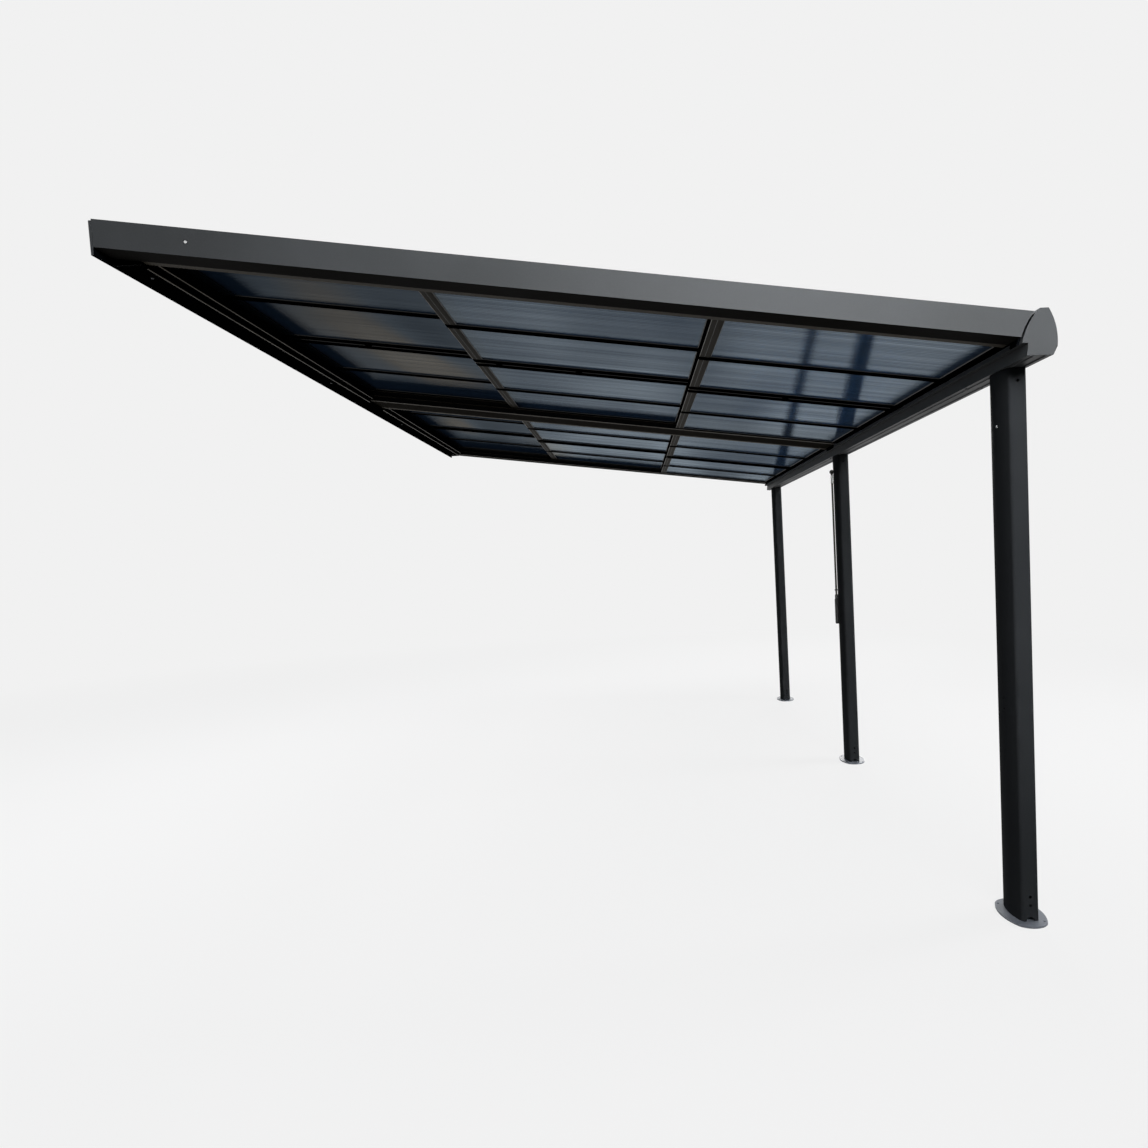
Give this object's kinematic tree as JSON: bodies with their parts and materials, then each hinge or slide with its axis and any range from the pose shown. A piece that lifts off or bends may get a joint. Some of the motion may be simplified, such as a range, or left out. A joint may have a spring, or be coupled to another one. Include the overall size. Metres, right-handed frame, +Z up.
{
  "type": "retractable roof pergola",
  "caption": "Wall-side pergola with a sloping roof of smoked sheets in telescoping sliding frames, a bullet-shaped gutter, posts on leaf-shaped plates and a hand crank.",
  "frame": {"origin": "middle of the back face of the wall beam, where it lies on the wall", "axes": "+X from the wall towards the gutter, +Y along the wall, +Z up"},
  "size_m": [3.608, 6.02, 2.9684],
  "materials": {
    "frame_coat": "satin anthracite powder coat",
    "plate_coat": "satin anthracite powder coat",
    "panel_frame": "dark coated aluminium",
    "track": "dark coated aluminium",
    "glazing": "smoked multiwall polycarbonate",
    "crank_metal": "plain drawn tube",
    "crank_plastic": "dark moulded plastic"
  },
  "bodies": {
    "base": {"wall_beam": "frame_coat", "closing_angle_near": "frame_coat", "closing_angle_far": "frame_coat", "rafter_near": "frame_coat", "rafter_middle_a": "frame_coat", "rafter_middle_b": "frame_coat", "rafter_far": "frame_coat", "gutter": "frame_coat", "gutter_cap_near": "frame_coat", "gutter_cap_far": "frame_coat", "rafter_saddle_near": "frame_coat", "rafter_saddle_middle": "frame_coat", "rafter_saddle_far": "frame_coat", "post_near": "frame_coat", "post_middle": "frame_coat", "post_far": "frame_coat", "base_plate_near": "plate_coat", "base_plate_middle": "plate_coat", "base_plate_far": "plate_coat", "track_near": "track", "track_middle_a": "track", "track_middle_b": "track", "track_far": "track", "crank_eye": "crank_plastic", "crank_rod": "crank_metal", "crank_grip": "crank_plastic", "crank_clip": "crank_plastic", "near_fixed_frame": "panel_frame", "near_fixed_sheet": "glazing", "far_fixed_frame": "panel_frame", "far_fixed_sheet": "glazing"},
    "near_middle_panel": {"near_middle_frame": "panel_frame", "near_middle_sheet": "glazing"},
    "near_lower_panel": {"near_lower_frame": "panel_frame", "near_lower_sheet": "glazing"},
    "far_middle_panel": {"far_middle_frame": "panel_frame", "far_middle_sheet": "glazing"},
    "far_lower_panel": {"far_lower_frame": "panel_frame", "far_lower_sheet": "glazing"}
  },
  "joints": [
    {"name": "near_middle_slide", "type": "slide", "parent": "base", "child": "near_middle_panel", "axis": [-0.9897, 0, 0.1435], "range_m": [0, 1]},
    {"name": "near_lower_slide", "type": "slide", "parent": "base", "child": "near_lower_panel", "axis": [-0.9897, 0, 0.1435], "range_m": [0, 2.14]},
    {"name": "far_middle_slide", "type": "slide", "parent": "base", "child": "far_middle_panel", "axis": [-0.9897, 0, 0.1435], "range_m": [0, 1]},
    {"name": "far_lower_slide", "type": "slide", "parent": "base", "child": "far_lower_panel", "axis": [-0.9897, 0, 0.1435], "range_m": [0, 2.14]}
  ]
}
